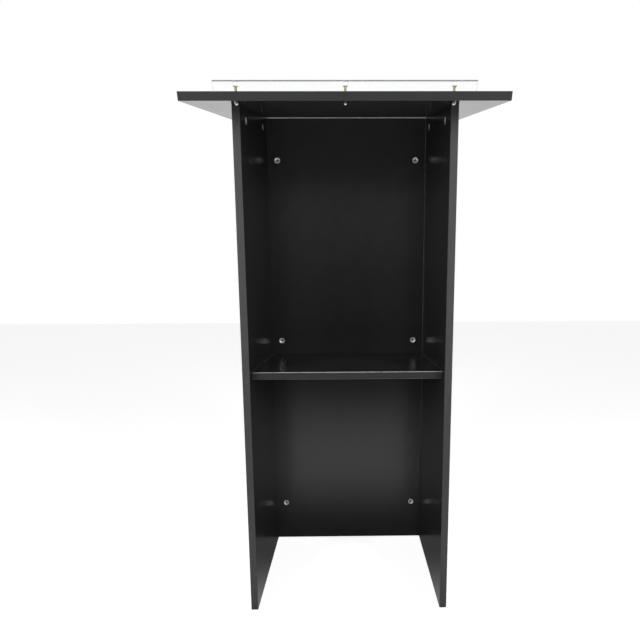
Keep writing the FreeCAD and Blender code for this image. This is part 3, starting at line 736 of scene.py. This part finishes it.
def make_stop_screws():
    """Countersunk machine screws: a coarse thread, a coned head with a cross recess."""
    low, high = span_along("stop_screws", SQUARE_TO_DESK)
    length = high - low
    head_base = length - HEAD_HEIGHT
    thread_end = head_base - SHANK_HEIGHT
    slices = int(thread_end / (THREAD_PITCH / SLICES_PER_TURN))
    rings = [(0.0, SCREW_TIP_RADIUS)]
    for count in range(1, slices):
        height = thread_end * count / slices
        rings.append((height, thread_outline(SCREW_RADIUS, THREAD_DEPTH, height / THREAD_PITCH)))
    rings += [(thread_end, SHANK_RADIUS), (head_base, SCREW_RADIUS - 0.05 * MM)]
    rings += [(length - depth, radius) for depth, radius in SCREW_HEAD]
    rings += cross_recess(length, SCREW_RECESS)
    places = stop_line_places("stop_screws", SQUARE_TO_DESK)
    meshes = [polar_mesh("screw", place, rings, STOP_STEPS) for place in places]
    return stand_for("stop_machine_screws", joined("stop machine screws", meshes), "stop_screws")


NUT_CORNER = 4.62 * MM
HEXAGON_HEIGHT = 3.6 * MM
DOME_RADIUS = 3.6 * MM
DOME_ROWS = 10
BORE_RADIUS = SCREW_RADIUS + 0.05 * MM
BORE_DEPTH = 5.2 * MM
BORE_TIP_DEPTH = 5.5 * MM
# Each row of the hexagon is (height, the radius that its corners are turned down to).
NUT_HEXAGON = ((0.3 * MM, 4.5 * MM), (0.5 * MM, NUT_CORNER), (HEXAGON_HEIGHT - 0.7 * MM, NUT_CORNER),
               (HEXAGON_HEIGHT - 0.35 * MM, 4.35 * MM), (HEXAGON_HEIGHT, 3.95 * MM))


def make_cap_nuts():
    """Domed cap nuts: a chamfered hexagon and a dome, bored for the screw."""
    downward = -SQUARE_TO_DESK
    low, high = span_along("stop_cap_nuts", downward)
    total = high - low
    rings = [(BORE_TIP_DEPTH, 0.4 * MM), (BORE_DEPTH, BORE_RADIUS), (0.0, BORE_RADIUS), (0.0, 4.05 * MM)]
    rings += [(height, hexagon_outline(NUT_CORNER, largest)) for height, largest in NUT_HEXAGON]
    rings.append((HEXAGON_HEIGHT + 0.02 * MM, DOME_RADIUS))
    for count in range(1, DOME_ROWS):
        angle = math.pi / 2 * count / DOME_ROWS
        height = HEXAGON_HEIGHT + (total - HEXAGON_HEIGHT) * math.sin(angle)
        rings.append((height, DOME_RADIUS * math.cos(angle)))
    rings.append((total, 0.2 * MM))
    places = stop_line_places("stop_cap_nuts", downward)
    meshes = [polar_mesh("cap nut", place, rings, STOP_STEPS) for place in places]
    return stand_for("stop_domed_nuts", joined("stop domed nuts", meshes), "stop_cap_nuts")


for part in frame["record"]["subparts"]:
    if part["material_slot"] == "zinc_casting":
        make_cam_nut(part["node"])
make_stop_screws()
make_cap_nuts()


# --- stage, light and camera --------------------------------------------------------------------

PANEL_NEAR_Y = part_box("side_band_left_near")[0].y

# Where the floor's glow as a light changes, each from one place to another.
LIT_FLOOR = (PANEL_NEAR_Y - 2.2, PANEL_NEAR_Y - 0.45)
DARK_STRIP_SIDE = (0.15, 0.5)
DARK_STRIP_START = (-1.0, -1.8)
SHADE_OF_LECTERN = (0.08, -0.42)
FAR_SIDE = (0.5, 1.3)
# How strongly it glows there, and how it looks.
LIT_FLOOR_GLOW = 0.97
SHADED_FLOOR_GLOW = 0.06
FAR_FLOOR_GLOW = 0.02
FAR_SIDE_GLOW = 0.6
SEEN_FLOOR_GLOW = 0.76
SEEN_FLOOR_GREY = 0.85
UNSEEN_FLOOR_GREY = 0.12
HALF_FLOOR = 9.0
WHITE = (1, 1, 1, 1)


def make_floor():
    """A wide pale floor.

    As a light it is bright before the presenter's side, but for a dark strip down its middle
    further off. It is shaded below the lectern, and half bright beyond it.
    """
    material, tree, shader, where = new_material("pale floor", Emission_Color=WHITE, Roughness=0.8)
    axes = axes_of(tree, where)
    fade = remap(tree, axes["Y"], *LIT_FLOOR, FAR_FLOOR_GLOW, LIT_FLOOR_GLOW)
    aside = arithmetic(tree, "ABSOLUTE", axes["X"])
    dark_strip = product(tree, remap(tree, aside, *DARK_STRIP_SIDE, 1.0, 0.0),
                         remap(tree, axes["Y"], *DARK_STRIP_START))
    kept = arithmetic(tree, "SUBTRACT", 1.0, dark_strip)
    from_lectern = remap(tree, axes["Y"], *SHADE_OF_LECTERN, SHADED_FLOOR_GLOW, 1.0)
    far_side = remap(tree, axes["Y"], *FAR_SIDE, 0.0, FAR_SIDE_GLOW)
    glow = arithmetic(tree, "MAXIMUM", product(tree, fade, kept, from_lectern), far_side)
    seen = tree.nodes.new("ShaderNodeLightPath").outputs["Is Camera Ray"]
    grey = blend_numbers(tree, seen, UNSEEN_FLOOR_GREY, SEEN_FLOOR_GREY)
    tint = put(tree, "CombineXYZ", x=grey, y=grey, z=grey)
    tree.links.new(tint.outputs[0], shader.inputs["Base Color"])
    strength = blend_numbers(tree, seen, glow, SEEN_FLOOR_GLOW)
    tree.links.new(strength, shader.inputs["Emission Strength"])
    mesh = bpy.data.meshes.new("floor")
    corners = [(x * HALF_FLOOR, y * HALF_FLOOR, 0) for x, y in ((-1, -1), (1, -1), (1, 1), (-1, 1))]
    mesh.from_pydata(corners, [], [(0, 1, 2, 3)])
    mesh.materials.append(material)
    floor = bpy.data.objects.new("floor", mesh)
    bpy.context.scene.collection.objects.link(floor)


BACKDROP_GLOW = 1.1
ROOM_GLOW = 0.16
FILL_GLOW = 0.17


def make_surroundings():
    """White where it is seen.

    As a light it is bright beyond the lectern and less so high up. On the presenter's side it
    is faint, with a low band that is a little brighter and has a dark gap in its middle.
    """
    world = bpy.data.worlds.new("studio")
    world.use_nodes = True
    bpy.context.scene.world = world
    tree = world.node_tree
    background = tree.nodes["Background"]
    axes = axes_of(tree, tree.nodes.new("ShaderNodeTexCoord").outputs["Generated"])
    beyond_lectern = remap(tree, axes["Y"], -0.3, 0.6)
    low_down = remap(tree, axes["Z"], 0.55, 0.1, 0.15, 1.0)
    backdrop = product(tree, beyond_lectern, low_down, BACKDROP_GLOW)
    aside = arithmetic(tree, "ABSOLUTE", axes["X"])
    beside_gap = remap(tree, aside, 0.0, 0.05, 0.1, 1.0)
    further_aside = remap(tree, aside, 0.12, 0.3, 1.0, 0.5)
    towards_presenter = remap(tree, axes["Y"], -0.2, -0.6)
    low_band = product(tree, remap(tree, axes["Z"], 0.0, 0.16), remap(tree, axes["Z"], 0.32, 0.2))
    room = product(tree, beside_gap, further_aside, towards_presenter, low_band, ROOM_GLOW)
    fill = product(tree, towards_presenter, FILL_GLOW)
    total = arithmetic(tree, "ADD", arithmetic(tree, "ADD", backdrop, room), fill)
    path = tree.nodes.new("ShaderNodeLightPath").outputs
    seen = arithmetic(tree, "MAXIMUM", path["Is Camera Ray"], path["Is Transmission Ray"])
    tree.links.new(blend_numbers(tree, seen, total, 1.0), background.inputs["Strength"])
    background.inputs["Color"].default_value = WHITE


def make_lamp(name, place, aim, width, height, watts):
    """A rectangular lamp that shines from its place towards its aim."""
    light = bpy.data.lights.new(name, "AREA")
    light.shape = "RECTANGLE"
    light.size = width
    light.size_y = height
    light.energy = watts
    lamp = bpy.data.objects.new(name, light)
    lamp.location = place
    lamp.rotation_euler = (Vector(aim) - Vector(place)).to_track_quat("-Z", "Y").to_euler()
    bpy.context.scene.collection.objects.link(lamp)
    return lamp


def make_lights():
    """Two tall soft lamps in front, and a faint one near the floor that shines up into the bay."""
    for side, word in ((-1, "left"), (1, "right")):
        make_lamp(f"softbox_{word}", place=(side * 1.25, PANEL_NEAR_Y - 1.4, 1.6), aim=(0, 0, 0.85),
                  width=0.5, height=1.5, watts=28)
    bounce = make_lamp("low_bounce", place=(0, PANEL_NEAR_Y - 0.5, 0.12), aim=(0, 0, 1.1),
                       width=0.5, height=0.3, watts=0.9)
    bounce.data.spread = math.radians(50)
    bounce.visible_glossy = False


EYE_BEFORE_PANEL = 0.9307
EYE_ASIDE = 0.004
EYE_HEIGHT = 0.7059
TURN, NOD, LEAN = (math.radians(angle) for angle in (-0.587, -8.118, 0.28))


def make_camera():
    """Stands before the presenter's side, at the height of the bay, and looks down a little."""
    camera = bpy.data.cameras.new("camera")
    camera.sensor_width = 36.0
    camera.lens = 25.74
    camera.shift_x = -0.0529
    camera.shift_y = 0.0554
    holder = bpy.data.objects.new("camera", camera)
    holder.location = (EYE_ASIDE, PANEL_NEAR_Y - EYE_BEFORE_PANEL, EYE_HEIGHT)
    level = Matrix.Rotation(math.radians(90), 4, "X")
    turned = Matrix.Rotation(TURN, 4, "Z") @ Matrix.Rotation(NOD, 4, "X") @ Matrix.Rotation(LEAN, 4, "Y")
    holder.rotation_euler = (turned @ level).to_euler()
    bpy.context.scene.collection.objects.link(holder)
    bpy.context.scene.camera = holder


make_floor()
make_surroundings()
make_lights()
make_camera()
bpy.context.scene.view_settings.view_transform = "Standard"
bpy.context.scene.view_settings.look = "None"
